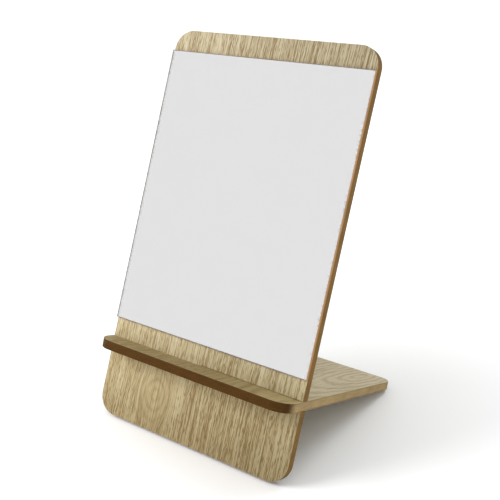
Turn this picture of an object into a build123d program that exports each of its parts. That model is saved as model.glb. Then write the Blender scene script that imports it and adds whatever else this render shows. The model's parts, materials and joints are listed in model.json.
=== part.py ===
from build123d import *
import math
import os

# A table mirror in two slot-together boards, in millimetres.
#
# A tall back board leans back and carries a frameless mirror on its front face. A square shelf
# board is pushed through it sideways: a slot runs in from the right edge of the back board to
# its centre, and one runs in from the left edge of the shelf to its centre, so the two boards
# interlock and their sides end up flush. The part stands on two edges, the lower rear edge of
# the back board and the lower rear edge of the shelf.
#
# Frame: X to the viewer's right, Y to the rear, Z up. The table top is Z = 0. The origin is on
# the table, midway between the part's foremost and rearmost points.

# ---------------------------------------------------------------- driving dimensions
SHEET_THICKNESS = 6.0       # veneered fibreboard, the same sheet for both boards
VENEER_THICKNESS = 0.5      # each face
ARRIS = 0.2                 # the eased outer edge of each veneer

BOARD_WIDTH = 150.0
BOARD_HEIGHT = 262.0        # measured along the leaning board
BOARD_CORNER_RADIUS = 13.0

SHELF_DEPTH = 150.0         # the shelf is a square as wide as the back board
SHELF_LIP = 17.5            # how far it stands out in front of the back board
SHELF_FRONT_RADIUS = 12.0   # its corners in front of the back board
SHELF_REAR_RADIUS = 9.0     # its corners on the table

SLOT_HEIGHT = 49.3          # slot centreline above the back board's bottom edge
SLOT_CLEARANCE = 0.3        # slot width beyond the sheet it takes
SLOT_END_GAP = 0.1          # each closed slot end stops this far past the centreline
SLOT_PLAY_ANGLE = 2.0       # the loose slots let the shelf sag this far from square

MIRROR_BOTTOM = 65.1        # above the back board's bottom edge
MIRROR_HEIGHT = 182.9
GLASS_THICKNESS = 1.4
GLASS_ARRIS = 0.25
SILVERING_THICKNESS = 0.1
BACKING_PAINT_THICKNESS = 0.1
TAPE_THICKNESS = 0.2
TAPE_WIDTH = 18.0
TAPE_LENGTH = 165.0
TAPE_SPACING = 52.0
TAPE_COUNT = 3

# ---------------------------------------------------------------- derived dimensions
CORE_THICKNESS = SHEET_THICKNESS - 2 * VENEER_THICKNESS
SLOT_WIDTH = SHEET_THICKNESS + SLOT_CLEARANCE
SLOT_LENGTH = BOARD_WIDTH / 2 + SLOT_END_GAP
HALF_SHEET = SHEET_THICKNESS / 2
PLAY = math.radians(SLOT_PLAY_ANGLE)

# The shelf's lower rear edge, from the back board's lower rear edge: how far it lies up the
# board and how far behind it. The line between the two edges is the table.
SHELF_REAR = SHELF_DEPTH - SHELF_LIP - HALF_SHEET
RISE_ALONG_BOARD = SLOT_HEIGHT + SHELF_REAR * math.sin(PLAY) - HALF_SHEET * math.cos(PLAY)
RUN_BEHIND_BOARD = SHELF_REAR * math.cos(PLAY) + HALF_SHEET * math.sin(PLAY) - HALF_SHEET
LEAN = math.atan2(RISE_ALONG_BOARD, RUN_BEHIND_BOARD)
SHELF_SLOPE = LEAN - PLAY


def board_point(along, out):
    """A point on the centre plane, from its distance up the board and out of its front face."""
    return Vector(
        0,
        along * math.sin(LEAN) - out * math.cos(LEAN),
        along * math.cos(LEAN) + out * math.sin(LEAN),
    )


# Before it is centred, the part has the board's lower front edge at Y = 0, which is as far
# forward as it reaches, and the shelf's upper rear edge is its rearmost. It is lifted so that
# the board's lower rear edge is on the table.
LIFT = -board_point(0, -SHEET_THICKNESS).Z
LOWER_REAR_Y = board_point(RISE_ALONG_BOARD, -SHEET_THICKNESS - RUN_BEHIND_BOARD).Y
UPPER_REAR_Y = LOWER_REAR_Y + SHEET_THICKNESS * math.sin(SHELF_SLOPE)
CENTRING = Vector(0, -UPPER_REAR_Y / 2, LIFT)


# ---------------------------------------------------------------- placing
def board_plane():
    """X to the right, Y up along the back board, Z out of its front face."""
    normal = Vector(0, -math.cos(LEAN), math.sin(LEAN))
    return Plane(origin=board_point(0, 0) + CENTRING, x_dir=(1, 0, 0), z_dir=normal)


def shelf_plane():
    """X to the right, Y to the rear along the shelf, Z out of its top. Its origin is where
    the middles of the two sheets cross."""
    normal = Vector(0, math.sin(SHELF_SLOPE), math.cos(SHELF_SLOPE))
    centre = board_point(SLOT_HEIGHT, -HALF_SHEET) + CENTRING
    return Plane(origin=centre, x_dir=(1, 0, 0), z_dir=normal)


# ---------------------------------------------------------------- outlines
def board_outline():
    """The back board's face, its slot open at the right edge."""
    blank = Pos(0, BOARD_HEIGHT / 2) * RectangleRounded(
        BOARD_WIDTH, BOARD_HEIGHT, BOARD_CORNER_RADIUS
    )
    slot_middle = BOARD_WIDTH / 2 - SLOT_LENGTH / 2
    return blank - Pos(slot_middle, SLOT_HEIGHT) * Rectangle(SLOT_LENGTH, SLOT_WIDTH)


def shelf_outline():
    """The shelf's face, its slot open at the left edge."""
    blank = Pos(0, SHELF_REAR - SHELF_DEPTH / 2) * Rectangle(BOARD_WIDTH, SHELF_DEPTH)
    blank = fillet(blank.vertices().sort_by(Axis.Y)[:2], SHELF_FRONT_RADIUS)
    blank = fillet(blank.vertices().sort_by(Axis.Y)[-2:], SHELF_REAR_RADIUS)
    slot_middle = SLOT_LENGTH / 2 - BOARD_WIDTH / 2
    return blank - Pos(slot_middle, 0) * Rectangle(SLOT_LENGTH, SLOT_WIDTH)


# ---------------------------------------------------------------- sheet layers
def layer(outline, base, thickness):
    """A flat layer of that outline, from height base up."""
    return Pos(0, 0, base) * extrude(outline, thickness)


def upper_veneer(outline, base):
    """A veneer with its upper, outer edges eased."""
    veneer = layer(outline, base, VENEER_THICKNESS)
    outer_edges = veneer.faces().sort_by(Axis.Z)[-1].edges()
    return chamfer(outer_edges, ARRIS)


def lower_veneer(outline, base):
    """A veneer with its lower, outer edges eased."""
    veneer = layer(outline, base, VENEER_THICKNESS)
    outer_edges = veneer.faces().sort_by(Axis.Z)[0].edges()
    return chamfer(outer_edges, ARRIS)


def back_board():
    """The back board's three layers. Its front face is at height 0."""
    outline = board_outline()
    core_base = VENEER_THICKNESS - SHEET_THICKNESS
    return {
        "board_core": layer(outline, core_base, CORE_THICKNESS),
        "board_front_veneer": upper_veneer(outline, -VENEER_THICKNESS),
        "board_rear_veneer": lower_veneer(outline, -SHEET_THICKNESS),
    }


def shelf():
    """The shelf's three layers. The middle of the sheet is at height 0."""
    outline = shelf_outline()
    return {
        "shelf_core": layer(outline, -CORE_THICKNESS / 2, CORE_THICKNESS),
        "shelf_top_veneer": upper_veneer(outline, CORE_THICKNESS / 2),
        "shelf_bottom_veneer": lower_veneer(outline, -HALF_SHEET),
    }


# ---------------------------------------------------------------- mirror
def mirror():
    """The mirror's layers, stacked out from the board's front face."""
    middle = MIRROR_BOTTOM + MIRROR_HEIGHT / 2
    pane = Pos(0, middle) * Rectangle(BOARD_WIDTH, MIRROR_HEIGHT)
    strip_places = GridLocations(TAPE_SPACING, 0, TAPE_COUNT, 1)
    strips = Pos(0, middle) * strip_places * Rectangle(TAPE_WIDTH, TAPE_LENGTH)
    paint_base = TAPE_THICKNESS
    silvering_base = paint_base + BACKING_PAINT_THICKNESS
    glass_base = silvering_base + SILVERING_THICKNESS
    glass = layer(pane, glass_base, GLASS_THICKNESS)
    front_edges = glass.faces().sort_by(Axis.Z)[-1].edges()
    return {
        "mirror_tape_strips": Compound([layer(s, 0, TAPE_THICKNESS) for s in strips]),
        "mirror_backing_paint": layer(pane, paint_base, BACKING_PAINT_THICKNESS),
        "mirror_silvering": layer(pane, silvering_base, SILVERING_THICKNESS),
        "mirror_glass": chamfer(front_edges, GLASS_ARRIS),
    }


# ---------------------------------------------------------------- writing
def write(parts, plane):
    """Places each part on the plane and writes it under its own name."""
    for name, part in parts.items():
        export_step(plane.location * part, f"parts/{name}.step")


os.makedirs("parts", exist_ok=True)
write(back_board(), board_plane())
write(mirror(), board_plane())
write(shelf(), shelf_plane())
print("lean", math.degrees(LEAN), "shelf slope", math.degrees(SHELF_SLOPE))
print("overall depth", UPPER_REAR_Y, "lift", LIFT)
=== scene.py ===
"""Looks of the slot-together table mirror: oak veneer, cut fibreboard edges and a silvered pane.

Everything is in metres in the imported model's frame: X to the viewer's right, Y to the rear,
Z up. The patterns are laid out in millimetres in two local frames, one per board, so that the
grain follows each board: X across it, Y along its grain, Z out of its face.
"""

import json
import math

import bmesh
import bpy
from mathutils import Matrix, Vector


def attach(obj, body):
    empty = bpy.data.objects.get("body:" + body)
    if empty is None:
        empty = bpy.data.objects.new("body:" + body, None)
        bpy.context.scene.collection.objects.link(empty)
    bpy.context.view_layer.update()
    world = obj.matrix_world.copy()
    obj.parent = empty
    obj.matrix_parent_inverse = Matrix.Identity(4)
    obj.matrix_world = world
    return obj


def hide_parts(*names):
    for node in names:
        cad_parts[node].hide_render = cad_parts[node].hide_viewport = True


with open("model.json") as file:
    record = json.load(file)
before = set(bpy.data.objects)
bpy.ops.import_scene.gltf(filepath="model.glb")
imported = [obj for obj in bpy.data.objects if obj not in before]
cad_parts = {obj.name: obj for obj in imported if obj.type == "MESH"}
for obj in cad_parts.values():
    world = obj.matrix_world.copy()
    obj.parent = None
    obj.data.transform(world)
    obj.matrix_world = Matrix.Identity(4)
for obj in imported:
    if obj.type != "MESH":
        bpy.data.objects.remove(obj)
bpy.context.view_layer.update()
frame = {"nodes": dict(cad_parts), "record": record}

MM = 0.001


# ---------------------------------------------------------------- the two boards' local frames
def mount_axis(name):
    """The direction that one of the record's mounts faces."""
    for mount in frame["record"]["mounts"]:
        if mount["name"] == name:
            return Vector(mount["axis"]).normalized()
    raise ValueError(f"the record has no mount named {name}")


def extent(node, direction):
    """How far a node reaches along a direction, lowest and highest, in metres."""
    reach = [vertex.co.dot(direction) for vertex in frame["nodes"][node].data.vertices]
    return min(reach), max(reach)


ACROSS = Vector((1, 0, 0))
BOARD_OUT = mount_axis("mirror_front")
BOARD_ALONG = BOARD_OUT.cross(ACROSS)
SHELF_OUT = mount_axis("shelf_top")
SHELF_ALONG = SHELF_OUT.cross(ACROSS)


class LocalFrame:
    """A board's own axes. Its origin is at the middle of the board's width, at the low end of
    its length, and halfway through its thickness."""

    def __init__(self, along, out, nodes):
        low = min(extent(node, along)[0] for node in nodes)
        depths = [extent(node, out) for node in nodes]
        middle = (min(d[0] for d in depths) + max(d[1] for d in depths)) / 2
        self.rotation = Matrix((ACROSS, along, out))
        self.origin = along * low + out * middle


# The board's Y runs up it from its bottom edge, and the shelf's Y runs to the rear from its
# front edge.
BOARD_NODES = ["board_core", "board_front_veneer", "board_rear_veneer"]
SHELF_NODES = ["shelf_core", "shelf_top_veneer", "shelf_bottom_veneer"]
BOARD = LocalFrame(BOARD_ALONG, BOARD_OUT, BOARD_NODES)
SHELF = LocalFrame(SHELF_ALONG, SHELF_OUT, SHELF_NODES)

# In those frames, and in millimetres: how far from a board's middle its core is glued to its
# veneers, and where the pane starts and ends along the back board.
core_back, core_front = extent("board_core", BOARD_OUT)
GLUE_LINE = (core_front - core_back) / (2 * MM)
PANE_ENDS = [
    (end - BOARD.origin.dot(BOARD_ALONG)) / MM for end in extent("mirror_glass", BOARD_ALONG)
]


# ---------------------------------------------------------------- building node trees
class Tree:
    """A material's node tree, with short calls for the nodes that the patterns use."""

    def __init__(self, name):
        self.material = bpy.data.materials.new(name)
        self.material.use_nodes = True
        self.tree = self.material.node_tree
        self.shader = self.tree.nodes["Principled BSDF"]

    def add(self, kind, values=None, **settings):
        """A node with its settings, and its inputs set from values or other nodes' outputs."""
        node = self.tree.nodes.new(kind)
        for name, value in settings.items():
            setattr(node, name, value)
        for socket, value in (values or {}).items():
            self.set(node.inputs[socket], value)
        return node

    def set(self, socket, value):
        """A socket takes a number or a colour, or is linked to another node's output."""
        if isinstance(value, bpy.types.NodeSocket):
            self.tree.links.new(value, socket)
        else:
            socket.default_value = value

    def maths(self, operation, a, b=0.0, c=0.0, clamp=False):
        """A calculation with numbers or other nodes' outputs, from 0 to 1 if it is clamped."""
        values = {0: a, 1: b, 2: c}
        return self.add("ShaderNodeMath", values, operation=operation, use_clamp=clamp).outputs[0]

    def step(self, value, low, high):
        """0 below low, 1 above high, and smooth between."""
        values = {"Value": value, "From Min": low, "From Max": high}
        node = self.add("ShaderNodeMapRange", values, interpolation_type="SMOOTHSTEP")
        return node.outputs["Result"]

    def spread(self, value, gain):
        """A value drawn away from one half by a gain, and kept from 0 to 1."""
        return self.maths("MULTIPLY_ADD", value, gain, 0.5 - 0.5 * gain, clamp=True)

    def weighted(self, patterns):
        """The sum of some patterns, each multiplied by its weight."""
        total = 0.0
        for pattern, weight in patterns:
            total = self.maths("MULTIPLY_ADD", pattern, weight, total)
        return total

    def join(self, x, y, z):
        """A vector from its X, Y and Z."""
        return self.add("ShaderNodeCombineXYZ", {0: x, 1: y, 2: z}).outputs[0]

    def split(self, vector):
        """A vector's X, Y and Z."""
        return self.add("ShaderNodeSeparateXYZ", {0: vector}).outputs

    def scaled(self, vector, sizes):
        """A vector divided by sizes, so that noise of scale 1 has features of those sizes."""
        factors = tuple(1 / size for size in sizes)
        values = {0: vector, 1: factors}
        return self.add("ShaderNodeVectorMath", values, operation="MULTIPLY").outputs[0]

    def noise(self, vector, sizes, seed, detail=2.0, roughness=0.5):
        """Noise from 0 to 1 whose features have about these sizes, in the vector's unit."""
        values = {
            "Vector": self.scaled(vector, sizes),
            "W": seed,
            "Scale": 1.0,
            "Detail": detail,
            "Roughness": roughness,
        }
        return self.add("ShaderNodeTexNoise", values, noise_dimensions="4D").outputs[0]

    def ramp(self, factor, stops):
        """A colour looked up between stops, each a position from 0 to 1 and its colour."""
        node = self.add("ShaderNodeValToRGB", {0: factor})
        elements = node.color_ramp.elements
        while len(elements) < len(stops):
            elements.new(0.5)
        for element, (position, colour) in zip(elements, stops):
            element.position = position
            element.color = (*colour, 1.0)
        return node.outputs[0]

    def mix(self, factor, a, b, blend="MIX"):
        """The colour a where the factor is 0, and b laid over a where it is 1."""
        node = self.add("ShaderNodeMix", data_type="RGBA", blend_type=blend)
        self.set(node.inputs[0], factor)
        for index, colour in ((6, a), (7, b)):
            if isinstance(colour, tuple):
                colour = (*colour, 1.0)
            self.set(node.inputs[index], colour)
        return node.outputs[2]

    def between(self, factor, a, b):
        """The number a where the factor is 0, and b where it is 1."""
        return self.add("ShaderNodeMix", {0: factor, 2: a, 3: b}, data_type="FLOAT").outputs[0]

    def position(self, local):
        """A point's place in a board's local frame, in millimetres."""
        coordinates = self.add("ShaderNodeTexCoord").outputs["Object"]
        offset = -(local.rotation @ local.origin) / MM
        values = {
            "Vector": coordinates,
            "Location": offset,
            "Rotation": local.rotation.to_euler(),
            "Scale": (1 / MM, 1 / MM, 1 / MM),
        }
        return self.add("ShaderNodeMapping", values, vector_type="POINT").outputs[0]

    def normal(self, local):
        """The direction a surface faces in a board's local frame."""
        coordinates = self.add("ShaderNodeTexCoord").outputs["Normal"]
        values = {"Vector": coordinates, "Rotation": local.rotation.to_euler()}
        return self.add("ShaderNodeMapping", values, vector_type="VECTOR").outputs[0]

    def bump(self, height, depth):
        """Relief of that height pattern, with its depth in millimetres."""
        values = {"Strength": 1.0, "Distance": depth * MM, "Height": height}
        return self.add("ShaderNodeBump", values).outputs[0]

    def finish(self, colour, roughness, normal=None):
        """The material, with those patterns as its shader's colour, roughness and relief."""
        self.set(self.shader.inputs["Base Color"], colour)
        self.set(self.shader.inputs["Roughness"], roughness)
        if normal is not None:
            self.set(self.shader.inputs["Normal"], normal)
        return self.material


# ---------------------------------------------------------------- oak veneer
# Sizes are in millimetres across the grain, along it and into the sheet.
STRAY_SIZES = (50, 140, 50)
STRAY_REACH = 7.0  # how far the grain strays sideways as its noise goes from 0 to 1
RING_SIZES = (9, 22, 20)  # of the noise that makes a figure's rings wander
# The layers of the veneer's tone, from broad patches to the fine straight lines of the grain.
# Each has its own seed beyond the veneer's, and the weights add up to 1.
TONE_LAYERS = {
    "patches": {"sizes": (14, 60, 12), "seed": 2, "detail": 2.0, "weight": 0.15},
    "streaks": {"sizes": (3.0, 80, 10), "seed": 3, "detail": 2.0, "weight": 0.05},
    "lines": {"sizes": (0.54, 45, 8), "seed": 4, "detail": 0.0, "weight": 0.50},
    "fibres": {"sizes": (0.38, 9, 8), "seed": 8, "detail": 0.0, "weight": 0.30},
}
CALM = 0.55  # the share of its contrast that the tone keeps inside a figure
PORE_ROWS = (6.0, 50, 12)  # the pores are closer together in some rows than in others
PORE_DASHES = (0.46, 4.0, 8)
PORE_PULL = 0.60  # how strongly the pores keep to the grain's darker lines
PORE_EDGE = (0.50, 0.64)  # where a dash's noise turns from wood to open pore
PORES_IN_FIGURE = 0.3  # the share of the pores that is left inside a figure
FIBRE_RELIEF = 0.35  # the fibres' height beside a pore's depth of 1
OAK_ROUGHNESS = 0.48  # and how much the fibres and the pores add to it
FIBRE_ROUGHNESS = 0.16
PORE_ROUGHNESS = 0.20


def flow_round(tree, x, y, figure):
    """Which growth ring a point is on, told by how far across the sheet from the figure's
    centre that ring passes. Rings near the centre are ovals, and those farther out run along
    the sheet and bulge round the figure. The point's own distance across is given too."""
    across = tree.maths("SUBTRACT", x, figure["centre"][0])
    along = tree.maths("SUBTRACT", y, figure["centre"][1])
    eased = tree.maths("TANH", tree.maths("MULTIPLY", along, figure["stretch"] / figure["eye"]))
    lengthwise = tree.maths("MULTIPLY", eased, figure["eye"])
    squares = tree.maths("MULTIPLY_ADD", across, across, tree.maths("POWER", lengthwise, 2.0))
    return tree.maths("SQRT", squares), across


def growth_rings(tree, place, flow, inside, figure, seed):
    """Growth rings, as soft nested lines round the figure's centre, from 0 to 1."""
    wander = tree.noise(place, RING_SIZES, seed, detail=3.0)
    distance = tree.maths("MULTIPLY_ADD", wander, figure["wander"], flow)
    turns = tree.maths("MULTIPLY", distance, 2 * math.pi / figure["spacing"])
    rings = tree.maths("MULTIPLY_ADD", tree.maths("SINE", turns), 0.5, 0.5)
    return tree.maths("MULTIPLY", tree.maths("POWER", rings, 2.0), inside)


def open_pores(tree, grain, lines, inside, seed):
    """Open pores, from 0 to 1: short straight dashes along the grain's darker lines."""
    rows = tree.step(tree.noise(grain, PORE_ROWS, seed, detail=2.0), 0.0, 0.5)
    sparse = tree.maths("MULTIPLY_ADD", inside, PORES_IN_FIGURE - 1.0, 1.0)
    dashes = tree.noise(grain, PORE_DASHES, seed + 1, detail=0.0)
    pulled = tree.maths("MULTIPLY_ADD", lines, -PORE_PULL, 0.5 * PORE_PULL)
    pores = tree.step(tree.maths("ADD", dashes, pulled), *PORE_EDGE)
    return tree.maths("MULTIPLY", pores, tree.maths("MULTIPLY", rows, sparse))


def painted_light_and_shade(tree, place, palette):
    """Painted light and shade: a tint that darkens or lightens the veneer's colour along and
    across the sheet.
    """
    x, y, _ = tree.split(place)
    along = tree.ramp(tree.maths("DIVIDE", y, palette["length"]), palette["along"])
    across = tree.mix(tree.step(x, *palette["width"]), palette["left"], palette["right"])
    return tree.mix(1.0, along, across, "MULTIPLY")


def oak(tree, place, figure, palette, seed):
    """Oak veneer, as its colour, roughness and height. Its grain runs along Y and bends round
    the figure, which is made of soft rings."""
    x, y, z = tree.split(place)
    flow, across = flow_round(tree, x, y, figure)
    inside = tree.maths("SUBTRACT", 1.0, tree.step(flow, 0.5 * figure["reach"], figure["reach"]))

    # The grain strays slowly sideways, and is pushed aside by the figure.
    stray = tree.noise(place, STRAY_SIZES, seed, detail=0.0)
    strayed = tree.maths("MULTIPLY_ADD", stray, STRAY_REACH, x)
    pushed = tree.maths("MULTIPLY", tree.maths("MULTIPLY", across, inside), -figure["push"])
    grain = tree.join(tree.maths("ADD", strayed, pushed), y, z)

    layers = {
        name: tree.noise(grain, layer["sizes"], seed + layer["seed"], layer["detail"])
        for name, layer in TONE_LAYERS.items()
    }
    tone = tree.weighted((layers[name], layer["weight"]) for name, layer in TONE_LAYERS.items())
    contrast = tree.between(inside, palette["contrast"], CALM * palette["contrast"])
    tone = tree.maths("MULTIPLY_ADD", tree.maths("SUBTRACT", tone, 0.5), contrast, 0.5)
    rings = growth_rings(tree, place, flow, inside, figure, seed + 1)
    tone = tree.maths("MULTIPLY_ADD", rings, -figure["strength"], tone, clamp=True)
    colour = tree.ramp(tone, palette["stops"])

    pores = open_pores(tree, grain, layers["lines"], inside, seed + 5)
    shade = tree.maths("MULTIPLY", pores, palette["pores"])
    colour = tree.mix(shade, colour, palette["pore_colour"])
    # The veneer's colour is multiplied here by painted light and shade along and across the
    # sheet.
    colour = tree.mix(1.0, colour, painted_light_and_shade(tree, place, palette), "MULTIPLY")

    fibres = layers["fibres"]
    roughness = tree.maths("MULTIPLY_ADD", fibres, FIBRE_ROUGHNESS, OAK_ROUGHNESS)
    roughness = tree.maths("MULTIPLY_ADD", pores, PORE_ROUGHNESS, roughness)
    height = tree.maths("SUBTRACT", tree.maths("MULTIPLY", fibres, FIBRE_RELIEF), pores)
    return colour, roughness, height


# ---------------------------------------------------------------- cut edges
EDGE_SPREAD = 3.6  # how far the edge's tone is drawn away from its middle
EDGE_LIGHT = (0.6, 1.4)  # how light its darkest and its lightest tone are beside its base
EDGE_ROUGHNESS = (0.5, 0.8)
GLUE_BLUR = (0.05, 0.22)  # how far from its middle a glue line starts to fade, and is gone
GLUE_STRENGTH = 0.45
SEAL_FADE = 1.0  # over what length the lacquer on the veneer fades out at the pane's ends
SEAL_BLUR = 0.1  # how far to either side of the glue line it fades out


def cut_edge(tree, place, normal, palette, seed):
    """Cut fibreboard, as its colour, roughness and height. The ends of the sheet are darker
    than its long sides, partly in the cut's own colour and partly as painted shade, and the
    rounded corners go from one to the other."""
    _, y, z = tree.split(place)
    facing = tree.split(normal)
    # Painted shade: the ends take the much darker end colour, partly the cut's own colour and
    # partly painted shade.
    end = tree.step(tree.maths("ABSOLUTE", facing[1]), *palette["turn"])
    base = tree.mix(end, palette["side"], palette["end"])

    plies = tree.noise(place, (12, 12, 0.9), seed, detail=3.0, roughness=0.6)
    fibres = tree.noise(place, (1.0, 1.0, 0.7), seed + 1, detail=2.0, roughness=0.6)
    blotches = tree.noise(place, (9, 9, 6), seed + 2, detail=3.0)
    tone = tree.weighted([(plies, 0.25), (fibres, 0.5), (blotches, 0.25)])
    light = tree.between(tree.spread(tone, EDGE_SPREAD), *EDGE_LIGHT)
    grey = tree.join(light, light, light)
    colour = tree.mix(1.0, base, grey, "MULTIPLY")

    # The glue lines between the veneers and the core.
    depth = tree.maths("ABSOLUTE", z)
    off_line = tree.maths("ABSOLUTE", tree.maths("SUBTRACT", depth, GLUE_LINE))
    line = tree.maths("SUBTRACT", 1.0, tree.step(off_line, *GLUE_BLUR))
    colour = tree.mix(tree.maths("MULTIPLY", line, GLUE_STRENGTH), colour, palette["end"])

    # Sealing lacquer has run from the pane onto the front veneer's edge beside it.
    if "sealed" in palette:
        low, high = palette["sealed"]
        past_low = tree.step(y, low, low + SEAL_FADE)
        past_high = tree.step(y, high - SEAL_FADE, high)
        beside = tree.maths("SUBTRACT", past_low, past_high)
        in_veneer = tree.step(z, GLUE_LINE - SEAL_BLUR, GLUE_LINE + SEAL_BLUR)
        seal = tree.mix(1.0, palette["seal"], grey, "MULTIPLY")
        colour = tree.mix(tree.maths("MULTIPLY", beside, in_veneer), colour, seal)

    return colour, tree.between(fibres, *EDGE_ROUGHNESS), fibres


# ---------------------------------------------------------------- one sheet's finish
MATT_SHEEN = 0.08  # matt lacquer reflects far less than the shader's usual 0.5
GRAIN_DEPTH = 0.02  # the depth of the pores, in millimetres
# The worn colour on the eased edge is partly wear and partly a painted highlight.
WEAR_AND_HIGHLIGHT = 0.4  # how much of the worn colour an eased edge takes on
EDGE_SEED = 20  # the edge's seeds start this far past the veneer's
# How directly a surface faces out of the sheet, as a cosine, where the cut edge turns into the
# eased edge, and where the eased edge turns into the flat face.
EASED_TURN = (0.35, 0.60)
FACE_TURN = (0.80, 0.95)


def sheet_material(name, local, figure, veneer_palette, edge_palette, seed):
    """One sheet's finish: oak on its faces and eased edges, cut fibreboard round its sides."""
    tree = Tree(name)
    place, normal = tree.position(local), tree.normal(local)
    face_colour, face_roughness, face_height = oak(tree, place, figure, veneer_palette, seed)
    edge_colour, edge_roughness, edge_height = cut_edge(
        tree, place, normal, edge_palette, seed + EDGE_SEED
    )

    # The front or upper eased edge is rubbed light, partly as wear and partly as a painted
    # highlight where it catches the light. The rear or lower one keeps the dark cut-edge colour
    # as painted shade, where it faces away from the light.
    facing = tree.split(normal)[2]
    front_face = tree.step(facing, *EASED_TURN)
    rear_face = tree.step(tree.maths("MULTIPLY", facing, -1.0), *FACE_TURN)
    face = tree.maths("ADD", front_face, rear_face, clamp=True)
    eased = tree.maths("SUBTRACT", front_face, tree.step(facing, *FACE_TURN))
    worn_and_lit = tree.mix(tree.maths("MULTIPLY", eased, WEAR_AND_HIGHLIGHT), face_colour, veneer_palette["worn_and_lit"])
    # Where it is rubbed less, the eased edge keeps part of the cut edge's colour.
    bare = tree.maths("MULTIPLY_ADD", eased, veneer_palette["rubbed"] - 1.0, face)
    colour = tree.mix(bare, edge_colour, worn_and_lit)

    roughness = tree.between(face, edge_roughness, face_roughness)
    height = tree.between(face, edge_height, face_height)
    tree.shader.inputs["Specular IOR Level"].default_value = MATT_SHEEN
    return tree.finish(colour, roughness, tree.bump(height, GRAIN_DEPTH))


# A figure in the grain, with its lengths in millimetres. A stretch of 1 makes its rings round,
# and a smaller one draws them out along the grain. Rings nearer the centre than eye close
# round it, and those farther out run on along the sheet. They fade out at reach. Spacing is
# the gap between two rings, wander is how far they stray and strength is how dark they are.
# Push is the share of its distance from the centre by which the grain is pushed aside.
BOARD_FIGURE = {
    "centre": (-31.0, 23.5),
    "stretch": 0.74,
    "eye": 22.0,
    "reach": 18.0,
    "push": 0.3,
    "spacing": 4.2,
    "wander": 4.0,
    "strength": 0.18,
}
SHELF_FIGURE = {
    "centre": (58.0, 128.0),
    "stretch": 0.24,
    "eye": 26.0,
    "reach": 60.0,
    "push": 0.0,
    "spacing": 4.2,
    "wander": 6.0,
    "strength": 0.32,
}
# A veneer's palette, with its lengths in millimetres. Its stops are the wood's colours by tone,
# and contrast spreads the tone. Pores and pore_colour are the pores' strength and colour. The
# worn-and-lit colour is the one that the eased edges are rubbed to, partly wear and partly a
# painted highlight, and rubbed is the share of the cut edge's colour that they have lost. Tints
# multiply the colours of the wood and its pores, and are painted light and shade: along has some
# at shares of the sheet's length, and left and right are those at the two places across the
# sheet that width holds.
BOARD_OAK = {
    "contrast": 2.1,
    "stops": [
        (0.0, (0.270, 0.195, 0.100)),
        (0.3, (0.370, 0.290, 0.165)),
        (0.5, (0.450, 0.378, 0.232)),
        (0.75, (0.520, 0.455, 0.300)),
        (1.0, (0.580, 0.520, 0.370)),
    ],
    "pores": 0.66,
    "pore_colour": (0.200, 0.130, 0.055),
    "worn_and_lit": (0.560, 0.480, 0.310),
    "rubbed": 1.0,
    "length": 262.0,
    # Painted shade: the board is darker towards its foot under the shelf, a little darker towards
    # its top, and darker towards its right side.
    "along": [
        (0.03, (0.66, 0.62, 0.54)),
        (0.10, (0.79, 0.765, 0.705)),
        (0.17, (0.82, 0.79, 0.73)),
        (0.24, (1.04, 1.06, 1.08)),
        (0.90, (0.83, 0.85, 0.91)),
    ],
    "width": (-75.0, 75.0),
    "left": (1.03, 1.025, 1.01),
    "right": (0.89, 0.885, 0.86),
}
SHELF_OAK = {
    "contrast": 1.9,
    "stops": [
        (0.0, (0.270, 0.215, 0.130)),
        (0.3, (0.360, 0.300, 0.190)),
        (0.5, (0.420, 0.360, 0.235)),
        (0.75, (0.470, 0.410, 0.280)),
        (1.0, (0.520, 0.460, 0.330)),
    ],
    "pores": 0.45,
    "pore_colour": (0.220, 0.160, 0.085),
    "worn_and_lit": (0.560, 0.490, 0.330),
    "rubbed": 0.4,
    "length": 150.0,
    # Painted shade darkens and yellows the front ledge, and painted light makes the rear lighter
    # and greyer; across, the shelf is darker towards its left.
    "along": [
        (0.10, (0.93, 0.86, 0.63)),
        (0.27, (1.18, 1.19, 1.20)),
    ],
    "width": (-10.0, 60.0),
    "left": (0.84, 0.82, 0.82),
    "right": (1.0, 1.0, 1.0),
}
# A cut edge's colours: side is on the sheet's long sides and end on its ends, which are darker,
# partly in the cut's own colour and partly as painted shade. The one turns into the other where
# the sine of the edge's direction is between the two values of turn.
# Between the two places along the sheet that sealed holds, lacquer from the pane gives the
# front veneer's edge the colour seal.
BOARD_EDGE = {
    "side": (0.180, 0.101, 0.027),
    "end": (0.120, 0.058, 0.018),
    "turn": (0.3, 0.9),
    "sealed": PANE_ENDS,
    "seal": (0.40, 0.19, 0.06),
}
SHELF_EDGE = {
    "side": (0.330, 0.235, 0.110),
    "end": (0.060, 0.0265, 0.0045),
    "turn": (0.05, 0.60),
}


# ---------------------------------------------------------------- the mirror's layers
def as_piece(name, mesh):
    """An object made from a mesh, with its faces turned outwards."""
    bmesh.ops.recalc_face_normals(mesh, faces=mesh.faces)
    data = bpy.data.meshes.new(name)
    mesh.to_mesh(data)
    mesh.free()
    piece = bpy.data.objects.new(name, data)
    bpy.context.scene.collection.objects.link(piece)
    return piece


def box_along_board(name, spans, arris=0, segments=0):
    """A slab in the board's local frame, from its spans across, along and out in metres. An
    arris eases the edges of its front and its four corners."""
    mesh = bmesh.new()
    corners = bmesh.ops.create_cube(mesh, size=1.0)["verts"]
    for corner in corners:
        place = [low + (c + 0.5) * (high - low) for c, (low, high) in zip(corner.co, spans)]
        corner.co = ACROSS * place[0] + BOARD_ALONG * place[1] + BOARD_OUT * place[2]
    if arris:
        front = max(vertex.co.dot(BOARD_OUT) for vertex in mesh.verts)
        eased = [
            edge
            for edge in mesh.edges
            if any(vertex.co.dot(BOARD_OUT) > front - arris for vertex in edge.verts)
        ]
        bmesh.ops.bevel(
            mesh, geom=eased, offset=arris, segments=segments, profile=0.5, affect="EDGES"
        )
    return as_piece(name, mesh)


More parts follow.
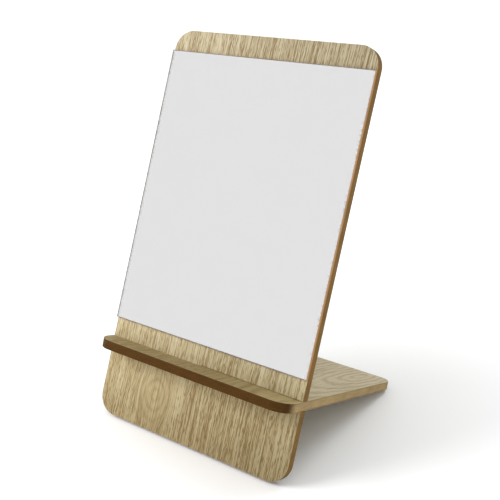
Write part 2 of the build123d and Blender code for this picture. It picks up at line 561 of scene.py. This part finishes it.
def ring_round_board(name, spans, width, depth):
    """A rectangular ring in the board's local frame, as wide as given inwards from its spans
    across and along, and with its depth out of the board."""
    (left, right), (bottom, top) = spans
    mesh = bmesh.new()
    loops = []
    for gap, out in ((0, depth[0]), (0, depth[1]), (width, depth[1]), (width, depth[0])):
        corners = (
            (left + gap, bottom + gap),
            (right - gap, bottom + gap),
            (right - gap, top - gap),
            (left + gap, top - gap),
        )
        loops.append(
            [mesh.verts.new(ACROSS * x + BOARD_ALONG * y + BOARD_OUT * out) for x, y in corners]
        )
    for loop, following in zip(loops, loops[1:] + loops[:1]):
        for i in range(4):
            j = (i + 1) % 4
            mesh.faces.new((loop[i], loop[j], following[j], following[i]))
    return as_piece(name, mesh)


def spans_of(node):
    """How far a node reaches across and along the board and out of it."""
    return [extent(node, axis) for axis in (ACROSS, BOARD_ALONG, BOARD_OUT)]


def inset(spans, gaps):
    """Spans drawn in by a gap at both ends."""
    return [(low + gap, high - gap) for (low, high), gap in zip(spans, gaps)]


def stand_for(piece, node):
    """The piece takes a mirror node's place on the back board."""
    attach(piece, "mirror_board")
    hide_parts(node)


# ---------------------------------------------------------------- the mirror's materials
# How far from the pane's middle, in millimetres, the silver starts to tarnish, and where it is
# worst.
TARNISH = (72.5, 74.8)


def mirror_glass():
    """Clear float glass with faint wiping marks on it."""
    tree = Tree("mirror_glass")
    place = tree.position(BOARD)
    smears = tree.noise(place, (22, 60, 20), 41, detail=4.0, roughness=0.6)
    cast = tree.noise(place, (70, 90, 40), 44)
    colour = tree.mix(cast, (0.995, 1.0, 0.998), (0.999, 1.0, 0.999))
    roughness = tree.maths("MULTIPLY", tree.step(smears, 0.5, 0.8), 0.012)
    tree.shader.inputs["Transmission Weight"].default_value = 1.0
    tree.shader.inputs["IOR"].default_value = 1.52
    return tree.finish(colour, roughness)


def edge_lacquer():
    """Amber sealing lacquer over the pane's ground sides, thin in places."""
    tree = Tree("edge_lacquer")
    place = tree.position(BOARD)
    grinding = tree.noise(place, (1.1, 1.1, 0.4), 45, detail=3.0)
    wear = tree.noise(place, (26, 18, 30), 46, detail=3.0)
    colour = tree.mix(tree.spread(grinding, 2.0), (0.42, 0.175, 0.035), (0.54, 0.25, 0.065))
    colour = tree.mix(tree.step(wear, 0.45, 0.75), colour, (0.34, 0.17, 0.06))
    roughness = tree.maths("MULTIPLY_ADD", grinding, 0.3, 0.3)
    tree.shader.inputs["Specular IOR Level"].default_value = 0.3
    return tree.finish(colour, roughness, tree.bump(grinding, 0.03))


def mirror_silvering():
    """The silver layer, faintly uneven and a little tarnished at its rim."""
    tree = Tree("mirror_silvering")
    place = tree.position(BOARD)
    across = tree.split(place)[0]
    rim = tree.step(tree.maths("ABSOLUTE", across), *TARNISH)
    spots = tree.noise(place, (1.2, 1.2, 5), 51, detail=3.0)
    tarnish = tree.maths("MULTIPLY", rim, tree.step(spots, 0.45, 0.65))
    haze = tree.noise(place, (40, 60, 20), 52)
    clean = tree.mix(haze, (0.762, 0.757, 0.759), (0.772, 0.767, 0.769))
    colour = tree.mix(tree.maths("MULTIPLY", tarnish, 0.4), clean, (0.20, 0.17, 0.14))
    tree.shader.inputs["Metallic"].default_value = 1.0
    roughness = tree.maths("MULTIPLY_ADD", tarnish, 0.2, 0.01)
    return tree.finish(colour, roughness)


def coating(name, light, dark, size, rough):
    """A painted or taped layer with a fine mottle."""
    tree = Tree(name)
    place = tree.position(BOARD)
    mottle = tree.noise(place, (size, size, size), 61, detail=4.0, roughness=0.6)
    colour = tree.mix(tree.spread(mottle, 2.0), dark, light)
    roughness = tree.maths("MULTIPLY_ADD", mottle, 0.2, rough)
    return tree.finish(colour, roughness, tree.bump(mottle, 0.02))


# ---------------------------------------------------------------- finishes on the nodes
def give(node, material):
    """One of the CAD's nodes takes on a material, and keeps its shape."""
    mesh = frame["nodes"][node].data
    mesh.materials.clear()
    mesh.materials.append(material)


BOARD_SEED = 3
SHELF_SEED = 103
board_finish = sheet_material(
    "board_oak", BOARD, BOARD_FIGURE, BOARD_OAK, BOARD_EDGE, BOARD_SEED
)
shelf_finish = sheet_material(
    "shelf_oak", SHELF, SHELF_FIGURE, SHELF_OAK, SHELF_EDGE, SHELF_SEED
)
for node in BOARD_NODES:
    give(node, board_finish)
for node in SHELF_NODES:
    give(node, shelf_finish)

# A bead of lacquer runs round the pane's sides and seals the layers behind it. It takes up the
# outermost hair of the pane's outline. A still thinner gap of air between the two keeps light
# turning back inside the glass's sides, which would look dark otherwise.
LACQUER = 0.06 * MM
AIR_GAP = 0.02 * MM
GLASS_INSET = LACQUER + AIR_GAP
GLASS_ARRIS = 0.12 * MM
ARRIS_SEGMENTS = 3
glass_spans = spans_of("mirror_glass")
pane_spans = inset(glass_spans, (GLASS_INSET, GLASS_INSET, 0))
pane = box_along_board("mirror_pane", pane_spans, GLASS_ARRIS, ARRIS_SEGMENTS)
pane.data.materials.append(mirror_glass())
stand_for(pane, "mirror_glass")

lacquer_depth = [extent("board_front_veneer", BOARD_OUT)[1], glass_spans[2][1] - GLASS_ARRIS]
bead = ring_round_board("mirror_edge_lacquer", glass_spans[:2], LACQUER, lacquer_depth)
bead.data.materials.append(edge_lacquer())
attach(bead, "mirror_board")

# The silver stops just short of the pane's edges, and the paint behind it shows there as a
# thin dark line. Gaps far thinner than a hair keep it off the faces before and behind it.
SILVER_INSET = 0.30 * MM
SILVER_GAP = 0.02 * MM
silver_spans = inset(spans_of("mirror_silvering"), (SILVER_INSET, SILVER_INSET, SILVER_GAP))
silver = box_along_board("mirror_silver", silver_spans)
silver.data.materials.append(mirror_silvering())
stand_for(silver, "mirror_silvering")

paint = coating("backing_paint", (0.20, 0.21, 0.22), (0.15, 0.16, 0.17), size=3, rough=0.5)
tape = coating("adhesive_tape", (0.84, 0.84, 0.82), (0.74, 0.74, 0.72), size=1.5, rough=0.6)
give("mirror_backing_paint", paint)
give("mirror_tape_strips", tape)


# ---------------------------------------------------------------- floor, light and camera
FLOOR_SIZE = 60.0
GLOW_REACH = (0.06, 0.44)  # how far from the middle the floor starts to glow, and glows fully
GLOW = 0.40  # how strongly it glows there


def pale_floor():
    """A floor that glows faintly, except round the object, so that it stays white."""
    bpy.ops.mesh.primitive_plane_add(size=FLOOR_SIZE, location=(0, 0, 0))
    floor = bpy.context.object
    floor.name = "floor"
    tree = Tree("pale_floor")
    coordinates = tree.add("ShaderNodeTexCoord").outputs["Object"]
    mottle = tree.noise(coordinates, (0.3, 0.3, 0.3), 71, detail=4.0)
    colour = tree.mix(mottle, (0.90, 0.90, 0.90), (0.94, 0.94, 0.935))
    length = tree.add("ShaderNodeVectorMath", {0: coordinates}, operation="LENGTH")
    glow = tree.maths("MULTIPLY", tree.step(length.outputs["Value"], *GLOW_REACH), GLOW)
    tree.shader.inputs["Emission Color"].default_value = (1, 1, 1, 1)
    tree.set(tree.shader.inputs["Emission Strength"], glow)
    floor.data.materials.append(tree.finish(colour, tree.maths("MULTIPLY_ADD", mottle, 0.1, 0.6)))


def area_light(name, place, target, size, power, colour=(1, 1, 1)):
    """A soft round light that faces a target, with its size in metres and power in watts."""
    light = bpy.data.lights.new(name, "AREA")
    light.shape = "DISK"
    light.size = size
    light.energy = power
    light.color = colour
    lamp = bpy.data.objects.new(name, light)
    lamp.location = place
    lamp.rotation_euler = (Vector(target) - Vector(place)).to_track_quat("-Z", "Y").to_euler()
    lamp.visible_glossy = False  # so that the mirror shows only the plain studio
    lamp.visible_transmission = False
    bpy.context.scene.collection.objects.link(lamp)


def white_world(seen, cast):
    """A white surround, seen at one strength and casting light at another."""
    world = bpy.data.worlds.new("studio")
    world.use_nodes = True
    bpy.context.scene.world = world
    nodes, links = world.node_tree.nodes, world.node_tree.links
    path = nodes.new("ShaderNodeLightPath")
    strength = nodes.new("ShaderNodeMapRange")
    strength.inputs["To Min"].default_value = seen
    strength.inputs["To Max"].default_value = cast
    links.new(path.outputs["Is Diffuse Ray"], strength.inputs["Value"])
    background = nodes["Background"]
    background.inputs["Color"].default_value = (1, 1, 1, 1)
    links.new(strength.outputs["Result"], background.inputs["Strength"])


# The photo's view, from fitting a camera to the outlines of both boards.
CAMERA_PLACE = Vector((0.28725, -0.40892, 0.30618))
CAMERA_TARGET = Vector((0.00245, -0.00247, 0.11377))
CAMERA_LENS = 59.11
CAMERA_SENSOR = 36.0


def camera():
    """A camera at that place, and the scene's view through it."""
    data = bpy.data.cameras.new("camera")
    data.lens = CAMERA_LENS
    data.sensor_width = CAMERA_SENSOR
    eye = bpy.data.objects.new("camera", data)
    eye.location = CAMERA_PLACE
    eye.rotation_euler = (CAMERA_TARGET - CAMERA_PLACE).to_track_quat("-Z", "Y").to_euler()
    bpy.context.scene.collection.objects.link(eye)
    bpy.context.scene.camera = eye


pale_floor()
white_world(seen=1.0, cast=0.74)
area_light("key", place=(-0.40, -0.45, 0.44), target=(0, 0, 0.15), size=0.4, power=4.2)
area_light(
    "rear",
    place=(0.30, 0.75, 1.05),
    target=(0, 0.03, 0.05),
    size=0.8,
    power=4.5,
    colour=(0.94, 0.98, 1.0),
)
camera()
bpy.context.scene.view_settings.view_transform = "Standard"

bpy.context.view_layer.update()
